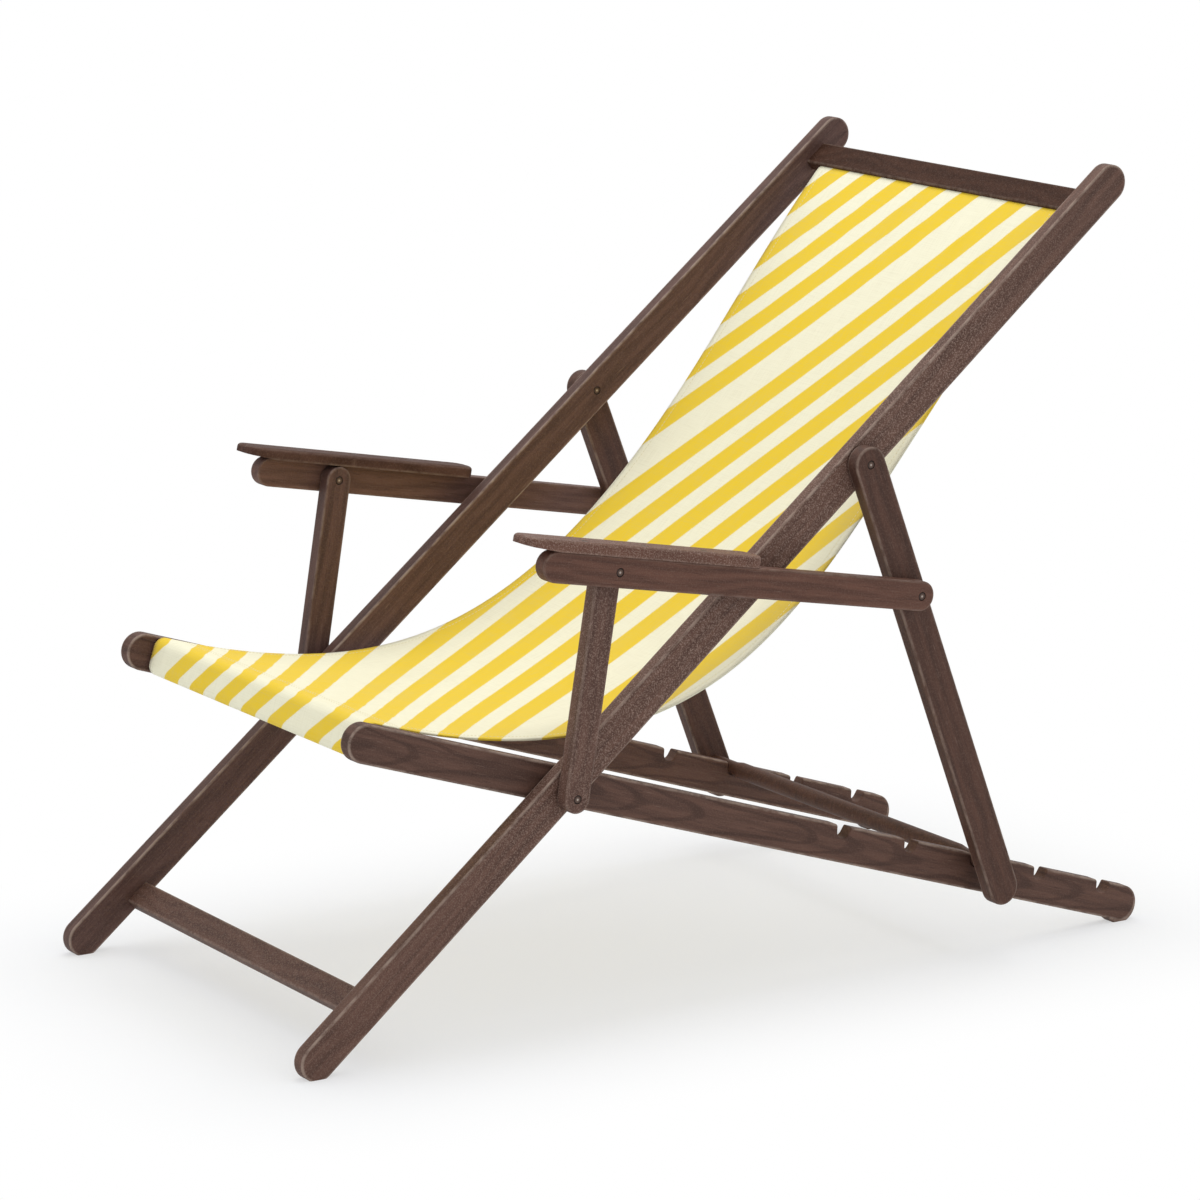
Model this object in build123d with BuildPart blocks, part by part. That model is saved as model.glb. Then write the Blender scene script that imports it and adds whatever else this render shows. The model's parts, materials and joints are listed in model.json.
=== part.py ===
from build123d import *
import os
from math import acos, atan2, cos, degrees, hypot, radians, sin, sqrt, tan

# Folding deck chair with arms. The front is towards -Y, the sitter's left is +X, and the floor is Z = 0.
# Three hinged wooden frames carry a canvas sling: main frame, notched seat frame and prop frame.
# All sizes are in millimetres. "Along" runs up a member and "across" is square to it, in the side view.

# Timber sections
rail_width = 40.0
rail_thickness = 16.0
prop_width = 38.0
post_width = 30.0
arm_rail_height = 32.0
edge_round = 1.5

# Main frame, measured along the rail between the centres of its round ends
main_span = 1282.0
main_pivot_from_foot = 374.0
prop_pivot_from_main_pivot = 478.5
foot_centre_height = 17.5

# Seat frame, measured along the rail from the main pivot
seat_front_from_pivot = 244.0
seat_rear_from_pivot = 813.0
heel_drop = 2.0
heel_blend = 12.0
heel_centre_height = 19.5
pivot_drop = 7.0

# Notches in the top edge of the seat rails, counted from the rear
notch_count = 5
notch_in_use = 2
notch_pitch = 98.0
notch_last_from_rear = 36.0
notch_depth = 14.0
notch_flare = 15.0
notch_front_round = 4.0
notch_rear_round = 2.0

# Prop frame, measured from the pivot on the main rail
prop_pivot_to_rod = 505.0
prop_tail = 28.0
rod_neck_diameter = 16.0
rod_diameter = 20.0
rod_shoulder = 12.0
rod_seat_depth = 10.0
arm_pivot_on_prop = 156.0

# Arms
post_pivot_span = 237.5
arm_nose = 78.0
board_front = 119.0
board_rear = 180.0
board_width = 36.0
board_thickness = 12.0
board_tip_thickness = 8.5
board_outer_overhang = 3.0
board_front_round = 12.0
board_rear_round = 15.0
board_edge_round = 4.0
board_screw_spread = 150.0
board_screw_count = 3
screw_diameter = 4.0
screw_head_diameter = 8.0
screw_length = 30.0

# Cross pieces
slat_width = 32.0
slat_thickness = 14.0
slat_from_top = 34.0
slat_across = -3.0
stretcher_width = 29.0
stretcher_thickness = 14.0
stretcher_from_foot = 76.0
stretcher_across = -13.0
front_bar_width = 38.0
front_bar_thickness = 20.0
front_bar_setback = 19.0
tenon_length = 10.0
tenon_shoulder = 3.0
bar_tenon_diameter = 14.0
cross_piece_round = 2.0

# Widths across the chair, from its middle plane outwards
seat_inner = 215.0
layer_gap = 2.0

# Pivots
pivot_diameter = 6.0
head_diameter = 9.0
head_height = 2.2
head_flush = 0.2
head_round = 0.9
washer_diameter = 15.0

# Sling
sling_thickness = 1.5
sling_side_gap = 4.0
sling_top_slope = 0.88
sling_back_pull = 432.0
sling_seat_pull = 495.0
sling_tuck = 14.0
sling_bend_radius = 60.0
kerf_lip = 4.0

# Clearances
notch_gap = 0.4
running_gap = 0.3
joint_fit = 0.1

# Layers of the left side, inner face of each
main_inner = seat_inner + rail_thickness + layer_gap
prop_inner = main_inner + rail_thickness + layer_gap
arm_inner = prop_inner + rail_thickness + layer_gap
arm_outer = arm_inner + rail_thickness
board_outer = arm_outer + board_outer_overhang
recess_depth = head_flush + head_height + running_gap
washer_thickness = layer_gap - running_gap
pivot_hole_radius = pivot_diameter / 2 + running_gap
recess_radius = head_diameter / 2 + running_gap

# Side view. The rod rests in its notch, so the lengths between main pivot, prop pivot and rod fix how far
# the frames open. The floor under the foot and the heel then fixes how they lean.
rod_along = seat_rear_from_pivot - notch_last_from_rear - notch_in_use * notch_pitch
notch_radius = rod_neck_diameter / 2 + notch_gap
rod_across = pivot_drop + rail_width / 2 - notch_depth + notch_radius
rod_distance = hypot(rod_along, rod_across)
pivot_link = hypot(prop_pivot_from_main_pivot, pivot_drop)
pivot_rise = atan2(pivot_drop, prop_pivot_from_main_pivot)
rod_cosine = (pivot_link**2 + rod_distance**2 - prop_pivot_to_rod**2) / (2 * pivot_link * rod_distance)
opening = acos(rod_cosine) + atan2(rod_across, rod_along) - pivot_rise

heel_radius = rail_width / 2 + heel_drop
heel_across = pivot_drop - heel_drop
lift = main_pivot_from_foot * sin(opening) - pivot_drop * cos(opening) + heel_across
reach = main_pivot_from_foot * cos(opening) + pivot_drop * sin(opening) + seat_rear_from_pivot
seat_lean = acos((heel_centre_height - foot_centre_height) / hypot(lift, reach)) - atan2(reach, lift)
main_lean = opening - seat_lean


def along(angle):
    """Unit vector in the side view, turned up from the rear by this angle."""
    return Vector(0, cos(angle), sin(angle))


def across(angle):
    """Unit vector in the side view, a quarter turn on from along."""
    return Vector(0, -sin(angle), cos(angle))


def heading(start, end):
    """Angle of the line between two points in the side view."""
    return atan2(end.Z - start.Z, end.Y - start.Y)


main_up = along(main_lean)
main_over = across(main_lean)
seat_back = along(-seat_lean)
seat_over = across(-seat_lean)

foot_offset = -main_pivot_from_foot * main_up + pivot_drop * main_over
heel_offset = seat_rear_from_pivot * seat_back + heel_across * seat_over
length_middle = (foot_offset.Y - rail_width / 2 + heel_offset.Y + heel_radius) / 2
main_pivot = Vector(0, -length_middle, foot_centre_height - foot_offset.Z)
prop_pivot = main_pivot + pivot_link * along(main_lean + pivot_rise)
rod_centre = main_pivot + rod_along * seat_back + rod_across * seat_over
prop_lean = heading(prop_pivot, rod_centre)
arm_rear_pivot = prop_pivot + arm_pivot_on_prop * along(prop_lean)

# The arm rail is as long as lets the arms fold flat along the main rails.
arm_pivot_span = pivot_link + arm_pivot_on_prop - post_pivot_span
brace = (arm_rear_pivot - main_pivot).length
brace_cosine = (post_pivot_span**2 + brace**2 - arm_pivot_span**2) / (2 * post_pivot_span * brace)
post_lean = heading(main_pivot, arm_rear_pivot) + acos(brace_cosine)
arm_front_pivot = main_pivot + post_pivot_span * along(post_lean)
arm_lean = heading(arm_front_pivot, arm_rear_pivot)

SIDES = ("left", "right")


def side_plane(point, angle, x):
    """Plane across the chair at x: its own x runs along the member, its y across it, its z to the left."""
    return Plane(origin=(x, point.Y, point.Z), x_dir=along(angle), z_dir=(1, 0, 0))


def outward(point, x):
    """Plane on a face that looks to the left, for a hole drilled from that face."""
    return Plane(origin=(x, point.Y, point.Z), z_dir=(1, 0, 0))


def inward(point, x):
    """Plane on a face that looks to the right, for a hole drilled from that face."""
    return Plane(origin=(x, point.Y, point.Z), z_dir=(-1, 0, 0))


def save(piece, name):
    """Name a finished piece and write its file."""
    piece.label = name
    export_step(piece, f"parts/{name}.step")


os.makedirs("parts", exist_ok=True)

# Main rails
main_middle = main_span / 2 - main_pivot_from_foot
top_along = main_span - main_pivot_from_foot
slat_along = top_along - slat_from_top
slat_place = (slat_along, pivot_drop + slat_across)
stretcher_place = (stretcher_from_foot - main_pivot_from_foot, pivot_drop + stretcher_across)
mortise_margin = 2 * (tenon_shoulder - joint_fit)
for side in SIDES:
    with BuildPart() as main_rail:
        with BuildSketch(side_plane(main_pivot, main_lean, main_inner)):
            with Locations((main_middle, pivot_drop)):
                SlotCenterToCenter(main_span, rail_width)
        extrude(amount=rail_thickness)
        fillet(main_rail.faces().filter_by(Axis.X).edges(), edge_round)
        split(bisect_by=Plane.XY, keep=Keep.TOP)
        with BuildSketch(side_plane(main_pivot, main_lean, main_inner)):
            with Locations(slat_place):
                Rectangle(slat_width - mortise_margin, slat_thickness - mortise_margin)
            with Locations(stretcher_place):
                Rectangle(stretcher_width - mortise_margin, stretcher_thickness - mortise_margin)
        extrude(amount=tenon_length + joint_fit, mode=Mode.SUBTRACT)
        with Locations(outward(main_pivot, main_inner + rail_thickness)):
            Hole(pivot_hole_radius, rail_thickness)
        with Locations(inward(prop_pivot, main_inner)):
            CounterBoreHole(pivot_hole_radius, recess_radius, recess_depth, rail_thickness)
        if side == "right":
            mirror(about=Plane.YZ, mode=Mode.REPLACE)
    save(main_rail.part, f"{side}_main_rail")

# Top slat and foot stretcher, with a tenon at each end. A kerf in the slat's lower edge holds the sling.
slat_low = slat_along - slat_width / 2
sling_half_width = seat_inner - sling_side_gap
sling_face = pivot_drop + slat_across + slat_thickness / 2 - kerf_lip
kerf_bottom = (slat_low + sling_tuck + joint_fit, sling_face - sling_thickness / 2)
kerf_half_length = sling_half_width + running_gap
cross_pieces = {
    "top_slat": (slat_place, slat_width, slat_thickness),
    "foot_stretcher": (stretcher_place, stretcher_width, stretcher_thickness),
}
for name, (place, width, thickness) in cross_pieces.items():
    with BuildPart() as cross_piece:
        with BuildSketch(side_plane(main_pivot, main_lean, -main_inner)):
            with Locations(place):
                RectangleRounded(width, thickness, cross_piece_round)
        extrude(amount=2 * main_inner)
        with BuildSketch(side_plane(main_pivot, main_lean, -main_inner - tenon_length)):
            with Locations(place):
                Rectangle(width - 2 * tenon_shoulder, thickness - 2 * tenon_shoulder)
        extrude(amount=2 * (main_inner + tenon_length))
        if name == "top_slat":
            with BuildSketch(side_plane(main_pivot, main_lean, -kerf_half_length)):
                with Locations(kerf_bottom):
                    Rectangle(slat_width, sling_thickness + 2 * joint_fit, align=(Align.MAX, Align.CENTER))
            extrude(amount=2 * kerf_half_length, mode=Mode.SUBTRACT)
    save(cross_piece.part, name)

# Seat rails, with a heel that stands on the floor and a row of notches for the prop rod
seat_top = pivot_drop + rail_width / 2
seat_bottom = pivot_drop - rail_width / 2
heel_start = seat_rear_from_pivot - sqrt(heel_radius**2 - (heel_across - seat_bottom) ** 2)
notch_last = seat_rear_from_pivot - notch_last_from_rear
notch_places = [notch_last - number * notch_pitch for number in range(notch_count)]
notch_wall_out = notch_radius * cos(radians(notch_flare))
notch_wall_low = rod_across - notch_radius * sin(radians(notch_flare))
notch_mouth = notch_wall_out + (seat_top - notch_wall_low) * tan(radians(notch_flare))
notch_brim = notch_mouth + rail_width * tan(radians(notch_flare))
bar_place = (front_bar_setback - seat_front_from_pivot, pivot_drop)
for side in SIDES:
    with BuildPart() as seat_rail:
        with BuildSketch(side_plane(main_pivot, -seat_lean, seat_inner)) as seat_outline:
            with BuildLine():
                Line((-seat_front_from_pivot, seat_top), (seat_rear_from_pivot, seat_top))
                ThreePointArc(
                    (seat_rear_from_pivot, seat_top),
                    (seat_rear_from_pivot + heel_radius, heel_across),
                    (heel_start, seat_bottom),
                )
                Line((heel_start, seat_bottom), (-seat_front_from_pivot, seat_bottom))
                ThreePointArc(
                    (-seat_front_from_pivot, seat_bottom),
                    (-seat_front_from_pivot - rail_width / 2, pivot_drop),
                    (-seat_front_from_pivot, seat_top),
                )
            make_face()
            for place in notch_places:
                with BuildLine():
                    ThreePointArc(
                        (place - notch_wall_out, notch_wall_low),
                        (place, rod_across - notch_radius),
                        (place + notch_wall_out, notch_wall_low),
                    )
                    Polyline(
                        (place + notch_wall_out, notch_wall_low),
                        (place + notch_brim, seat_top + rail_width),
                        (place - notch_brim, seat_top + rail_width),
                        (place - notch_wall_out, notch_wall_low),
                    )
                make_face(mode=Mode.SUBTRACT)
            corners = seat_outline.vertices()
            front_places = [(place - notch_mouth, seat_top) for place in notch_places]
            fillet([corners.sort_by_distance(place)[0] for place in front_places], notch_front_round)
            corners = seat_outline.vertices()
            rear_places = [(place + notch_mouth, seat_top) for place in notch_places]
            fillet([corners.sort_by_distance(place)[0] for place in rear_places], notch_rear_round)
            fillet(seat_outline.vertices().sort_by_distance((heel_start, seat_bottom))[0], heel_blend)
        extrude(amount=rail_thickness)
        fillet(seat_rail.faces().filter_by(Axis.X).edges(), edge_round)
        split(bisect_by=Plane.XY, keep=Keep.TOP)
        with Locations(inward(main_pivot, seat_inner)):
            CounterBoreHole(pivot_hole_radius, recess_radius, recess_depth, rail_thickness)
        with BuildSketch(side_plane(main_pivot, -seat_lean, seat_inner)):
            with Locations(bar_place):
                Circle(bar_tenon_diameter / 2 + joint_fit)
        extrude(amount=tenon_length + joint_fit, mode=Mode.SUBTRACT)
        if side == "right":
            mirror(about=Plane.YZ, mode=Mode.REPLACE)
    save(seat_rail.part, f"{side}_seat_rail")

# Front bar that the sling is hemmed round
with BuildPart() as front_bar:
    with BuildSketch(side_plane(main_pivot, -seat_lean, -seat_inner)):
        with Locations(bar_place):
            SlotOverall(front_bar_width, front_bar_thickness, rotation=90)
    extrude(amount=2 * seat_inner)
    with BuildSketch(side_plane(main_pivot, -seat_lean, -seat_inner - tenon_length)):
        with Locations(bar_place):
            Circle(bar_tenon_diameter / 2)
    extrude(amount=2 * (seat_inner + tenon_length))
save(front_bar.part, "front_bar")

# Prop legs and the rod that drops into the notches
prop_span = prop_pivot_to_rod + prop_tail
for side in SIDES:
    with BuildPart() as prop_leg:
        with BuildSketch(side_plane(prop_pivot, prop_lean, prop_inner)):
            with Locations((prop_span / 2, 0)):
                SlotCenterToCenter(prop_span, prop_width)
        extrude(amount=rail_thickness)
        fillet(prop_leg.faces().filter_by(Axis.X).edges(), edge_round)
        with Locations(outward(prop_pivot, prop_inner + rail_thickness)):
            CounterBoreHole(pivot_hole_radius, recess_radius, recess_depth, rail_thickness)
        with Locations(inward(arm_rear_pivot, prop_inner)):
            CounterBoreHole(pivot_hole_radius, recess_radius, recess_depth, rail_thickness)
        with Locations(inward(rod_centre, prop_inner)):
            Hole(rod_neck_diameter / 2 + joint_fit, rod_seat_depth + joint_fit)
        if side == "right":
            mirror(about=Plane.YZ, mode=Mode.REPLACE)
    save(prop_leg.part, f"{side}_prop_leg")

rod_half_length = prop_inner + rod_seat_depth
rod_neck_start = seat_inner - rod_shoulder / 4
rod_body_end = rod_neck_start - rod_shoulder
with BuildPart() as prop_rod:
    with BuildSketch(Plane(origin=rod_centre, x_dir=(1, 0, 0), z_dir=along(prop_lean))):
        with BuildLine():
            Polyline(
                (-rod_half_length, 0),
                (-rod_half_length, rod_neck_diameter / 2 - edge_round),
                (-rod_half_length + edge_round, rod_neck_diameter / 2),
                (-rod_neck_start, rod_neck_diameter / 2),
                (-rod_body_end, rod_diameter / 2),
                (rod_body_end, rod_diameter / 2),
                (rod_neck_start, rod_neck_diameter / 2),
                (rod_half_length - edge_round, rod_neck_diameter / 2),
                (rod_half_length, rod_neck_diameter / 2 - edge_round),
                (rod_half_length, 0),
                close=True,
            )
        make_face()
    revolve(axis=Axis(rod_centre, (1, 0, 0)))
save(prop_rod.part, "prop_rod")

# Arm posts
for side in SIDES:
    with BuildPart() as arm_post:
        with BuildSketch(side_plane(main_pivot, post_lean, prop_inner)):
            with Locations((post_pivot_span / 2, 0)):
                SlotCenterToCenter(post_pivot_span, post_width)
        extrude(amount=rail_thickness)
        fillet(arm_post.faces().filter_by(Axis.X).edges(), edge_round)
        with Locations(outward(main_pivot, prop_inner + rail_thickness)):
            CounterBoreHole(pivot_hole_radius, recess_radius, recess_depth, rail_thickness)
        with Locations(inward(arm_front_pivot, prop_inner)):
            CounterBoreHole(pivot_hole_radius, recess_radius, recess_depth, rail_thickness)
        if side == "right":
            mirror(about=Plane.YZ, mode=Mode.REPLACE)
    save(arm_post.part, f"{side}_arm_post")

# Arm rails, boards and the screws that hold the boards down
arm_top = arm_rail_height / 2
arm_middle_x = (arm_inner + arm_outer) / 2
board_middle_x = board_outer - board_width / 2
board_length = board_front + board_rear
board_middle = (board_rear - board_front) / 2
board_top = arm_top + board_thickness
board_seat = Plane(
    origin=Vector(board_middle_x, 0, 0) + arm_front_pivot + arm_top * across(arm_lean),
    x_dir=along(arm_lean),
    z_dir=across(arm_lean),
)
screw_first = board_middle - board_screw_spread / 2
screw_step = board_screw_spread / (board_screw_count - 1)
screw_points = [
    Vector(arm_middle_x, 0, 0)
    + arm_front_pivot
    + (screw_first + number * screw_step) * along(arm_lean)
    + board_top * across(arm_lean)
    for number in range(board_screw_count)
]
screw_planes = [Plane(origin=point, x_dir=along(arm_lean), z_dir=across(arm_lean)) for point in screw_points]
screw_top_radius = screw_head_diameter / 2 - head_flush
screw_head_depth = screw_top_radius - screw_diameter / 2
for side in SIDES:
    with BuildPart() as arm_rail:
        with BuildSketch(side_plane(arm_front_pivot, arm_lean, arm_inner)):
            with Locations(((arm_pivot_span - arm_nose) / 2, 0)):
                SlotCenterToCenter(arm_pivot_span + arm_nose, arm_rail_height)
        extrude(amount=rail_thickness)
        fillet(arm_rail.faces().filter_by(Axis.X).edges(), edge_round)
        with Locations(outward(arm_front_pivot, arm_outer), outward(arm_rear_pivot, arm_outer)):
            CounterBoreHole(pivot_hole_radius, recess_radius, recess_depth, rail_thickness)
        with Locations(*screw_planes):
            Hole(screw_diameter / 2 + joint_fit, screw_length + joint_fit)
        if side == "right":
            mirror(about=Plane.YZ, mode=Mode.REPLACE)
    save(arm_rail.part, f"{side}_arm_rail")

    with BuildPart() as arm_board:
        with BuildSketch(board_seat) as board_outline:
            with Locations((board_middle, 0)):
                Rectangle(board_length, board_width)
            fillet(board_outline.vertices().group_by(Axis.X)[0], board_front_round)
            fillet(board_outline.vertices().group_by(Axis.X)[-1], board_rear_round)
        extrude(amount=board_thickness)
        with BuildSketch(side_plane(arm_front_pivot, arm_lean, board_outer)):
            with BuildLine():
                Polyline(
                    (-arm_nose, arm_top),
                    (-board_front, board_top - board_tip_thickness),
                    (-board_front - board_thickness, board_top - board_tip_thickness),
                    (-board_front - board_thickness, arm_top - board_thickness),
                    (-arm_nose, arm_top - board_thickness),
                    close=True,
                )
            make_face()
        extrude(amount=-board_width, mode=Mode.SUBTRACT)
        fillet(arm_board.faces().sort_by(Axis((0, 0, 0), board_seat.z_dir))[-1].edges(), board_edge_round)
        with Locations(*screw_planes):
            CounterSinkHole(
                screw_diameter / 2 + joint_fit,
                screw_head_diameter / 2 + joint_fit,
                board_thickness,
                counter_sink_angle=90,
            )
        if side == "right":
            mirror(about=Plane.YZ, mode=Mode.REPLACE)
    save(arm_board.part, f"{side}_arm_board")

    with BuildPart() as board_screws:
        for plane in screw_planes:
            with BuildSketch(plane.offset(-head_flush)):
                Circle(screw_top_radius)
            with BuildSketch(plane.offset(-head_flush - screw_head_depth)):
                Circle(screw_diameter / 2)
            loft()
            with BuildSketch(plane.offset(-head_flush - screw_head_depth)):
                Circle(screw_diameter / 2)
            extrude(amount=-(screw_length - head_flush - screw_head_depth))
        if side == "right":
            mirror(about=Plane.YZ, mode=Mode.REPLACE)
    save(board_screws.part, f"{side}_arm_board_screws")


def pivot_pin(point, inner_face, outer_face, inner_head=True, outer_head=True):
    """Pin through a stack of timbers, along X, with its heads let into the outermost faces."""
    head = head_height + head_flush
    start = inner_face + (head if inner_head else 0)
    stop = outer_face - (head if outer_head else 0)
    with BuildPart(mode=Mode.PRIVATE) as pin:
        with BuildSketch(outward(point, start)):
            Circle(pivot_diameter / 2)
        extrude(amount=stop - start)
        if outer_head:
            with BuildSketch(outward(point, stop)):
                Circle(head_diameter / 2)
            extrude(amount=head_height)
            fillet(pin.faces().sort_by(Axis.X)[-1].edges(), head_round)
        if inner_head:
            with BuildSketch(inward(point, start)):
                Circle(head_diameter / 2)
            extrude(amount=head_height)
            fillet(pin.faces().sort_by(Axis.X)[0].edges(), head_round)
    return pin.part


def washer(point, inner_face):
    """Flat ring along X that keeps two timbers apart."""
    with BuildPart(mode=Mode.PRIVATE) as ring:
        with BuildSketch(outward(point, inner_face)):
            Circle(washer_diameter / 2)
            Circle(pivot_hole_radius, mode=Mode.SUBTRACT)
        extrude(amount=washer_thickness)
    return ring.part


# Pivots on the main frame: a pin at each crossing of main rail, seat rail and post, and the inner half of each
# prop pivot, whose two halves meet between main rail and prop leg
seat_outer = seat_inner + rail_thickness
main_outer = main_inner + rail_thickness
prop_outer = prop_inner + rail_thickness
pivot_groups = {
    "main_pivot_pins": [pivot_pin(main_pivot, seat_inner, prop_outer)],
    "main_pivot_washers": [washer(main_pivot, seat_outer + running_gap), washer(main_pivot, main_outer)],
    "prop_pivot_sockets": [pivot_pin(prop_pivot, main_inner, main_outer, outer_head=False)],
    "prop_pivot_washers": [washer(prop_pivot, main_outer)],
    "prop_pivot_pins": [pivot_pin(prop_pivot, prop_inner, prop_outer, inner_head=False)],
}
for name, fasteners in pivot_groups.items():
    with BuildPart() as pivot_group:
        add(fasteners)
        mirror(about=Plane.YZ)
    save(pivot_group.part, name)

# Pivots on each arm: one pin and washer through post and arm rail, one through prop leg and arm rail
arm_pivots = {
    "arm_front_pin": pivot_pin(arm_front_pivot, prop_inner, arm_outer),
    "arm_front_washer": washer(arm_front_pivot, prop_outer),
    "arm_rear_pin": pivot_pin(arm_rear_pivot, prop_inner, arm_outer),
    "arm_rear_washer": washer(arm_rear_pivot, prop_outer + running_gap),
}
for side in SIDES:
    for name, fastener in arm_pivots.items():
        with BuildPart() as arm_fastener:
            add(fastener)
            if side == "right":
                mirror(about=Plane.YZ, mode=Mode.REPLACE)
        save(arm_fastener.part, f"{side}_{name}")

# Sling: held in the top slat's kerf, hanging in one curve to the front bar and hemmed round it
tuck_start = main_pivot + (slat_low + sling_tuck) * main_up + sling_face * main_over
tuck_end = main_pivot + slat_low * main_up + sling_face * main_over
bar_centre = main_pivot + bar_place[0] * seat_back + bar_place[1] * seat_over
hem_top = bar_centre + (front_bar_width / 2 + running_gap + sling_thickness) * seat_over
hang_start = tuck_end - sling_bend_radius * sin(sling_top_slope - main_lean) * main_up
hang_start = hang_start - sling_bend_radius * (1 - cos(sling_top_slope - main_lean)) * main_over


def flat(point):
    """A point of the side view as sketch coordinates on the YZ plane."""
    return (point.Y, point.Z)


hem_height = front_bar_width + 2 * running_gap
hem_depth = front_bar_thickness + 2 * running_gap
hem_turn = 90 - degrees(seat_lean)
pull_gain = 4 / 3 * tan((sling_top_slope + seat_lean) / 4)
hem_wall = 2 * sling_thickness
with BuildPart() as sling:
    with BuildSketch(Plane.YZ):
        with BuildLine():
            ends = []
            for depth in (0, sling_thickness):
                start = flat(tuck_start - depth * main_over)
                tuck = Line(start, flat(tuck_end - depth * main_over))
                hang = hang_start - depth * across(sling_top_slope)
                TangentArc(tuck @ 1, flat(hang), tangent=tuck % 1)
                stop = hem_top - depth * seat_over
                Bezier(
                    flat(hang),
                    flat(hang - (sling_back_pull + pull_gain * depth) * along(sling_top_slope)),
                    flat(stop + (sling_seat_pull + pull_gain * depth) * seat_back),
                    flat(stop),
                )
                ends.append((start, flat(stop)))
            Line(ends[0][0], ends[1][0])
            Line(ends[0][1], ends[1][1])
        make_face()
        with Locations(flat(bar_centre)):
            SlotOverall(hem_height + hem_wall, hem_depth + hem_wall, rotation=hem_turn)
            SlotOverall(hem_height, hem_depth, rotation=hem_turn, mode=Mode.SUBTRACT)
    extrude(amount=sling_half_width, both=True)
save(sling.part, "sling")
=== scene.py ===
"""Folding deck chair: wood, steel and striped canvas finishes, and the canvas sling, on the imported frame.

The front is towards -Y, the sitter's left is +X, and the floor is Z = 0. All sizes are in metres.
"""
import json
from math import atan2, cos, pi, radians, sin

import bpy
import numpy as np
from mathutils import Matrix, Vector


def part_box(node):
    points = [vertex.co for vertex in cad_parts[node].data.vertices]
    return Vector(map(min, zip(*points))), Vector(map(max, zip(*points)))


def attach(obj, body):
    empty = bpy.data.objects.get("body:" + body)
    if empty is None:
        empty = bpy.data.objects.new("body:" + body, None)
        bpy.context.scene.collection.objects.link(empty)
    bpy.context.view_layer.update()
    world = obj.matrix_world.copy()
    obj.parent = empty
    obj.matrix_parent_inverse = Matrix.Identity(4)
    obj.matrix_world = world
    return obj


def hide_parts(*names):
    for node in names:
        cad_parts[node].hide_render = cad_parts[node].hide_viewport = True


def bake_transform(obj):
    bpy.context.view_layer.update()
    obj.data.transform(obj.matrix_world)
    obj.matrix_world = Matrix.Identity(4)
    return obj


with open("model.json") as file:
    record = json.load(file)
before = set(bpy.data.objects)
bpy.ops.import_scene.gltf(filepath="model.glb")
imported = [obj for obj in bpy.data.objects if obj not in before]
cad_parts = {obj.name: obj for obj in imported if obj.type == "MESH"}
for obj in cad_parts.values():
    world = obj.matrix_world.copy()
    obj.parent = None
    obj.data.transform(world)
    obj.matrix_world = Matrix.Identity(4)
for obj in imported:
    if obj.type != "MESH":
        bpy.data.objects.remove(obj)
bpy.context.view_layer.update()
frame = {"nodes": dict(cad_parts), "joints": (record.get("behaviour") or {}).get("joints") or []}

scene = bpy.context.scene
scene.view_settings.view_transform = "Standard"


# Side view of the chair, as (y, z) points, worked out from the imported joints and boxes
def along(lean):
    """Unit vector (y, z) that leans by an angle up from the rearward direction."""
    return np.array((cos(lean), sin(lean)))


def across(lean):
    """Unit vector (y, z) square to along(lean), a quarter turn further."""
    return np.array((-sin(lean), cos(lean)))


def heading(start, end):
    """Lean of the line from one (y, z) point to another."""
    return atan2(end[1] - start[1], end[0] - start[0])


def box_middle(node):
    """Middle of a node's box, as a (y, z) point."""
    low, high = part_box(node)
    return np.array(((low[1] + high[1]) / 2, (low[2] + high[2]) / 2))


joints = {joint["name"]: joint for joint in frame["joints"]}
main_pivot = np.array(joints["seat_fold"]["pos_m"][1:])
arm_front_pivot = np.array(joints["left_arm_swing"]["pos_m"][1:])
arm_rear_pivot = np.array(joints["prop_swing"]["pos_m"][1:])
rod_centre = box_middle("prop_rod")

RAIL_HALF_WIDTH = 0.020
PROP_HALF_WIDTH = 0.019
POST_HALF_WIDTH = 0.015
ARM_RAIL_HALF_HEIGHT = 0.016
FOOT_CENTRE_HEIGHT = 0.0175
PIVOT_DROP = 0.007

rail_low, rail_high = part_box("left_main_rail")
main_foot = np.array((rail_low[1] + RAIL_HALF_WIDTH, FOOT_CENTRE_HEIGHT))
main_top = np.array((rail_high[1] - RAIL_HALF_WIDTH, rail_high[2] - RAIL_HALF_WIDTH))
main_lean = heading(main_foot, main_top)
seat_lean = radians(joints["seat_fold"]["range_deg"][1]) - main_lean
main_up = along(main_lean)
main_over = across(main_lean)
seat_back = along(-seat_lean)
seat_over = across(-seat_lean)


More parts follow.
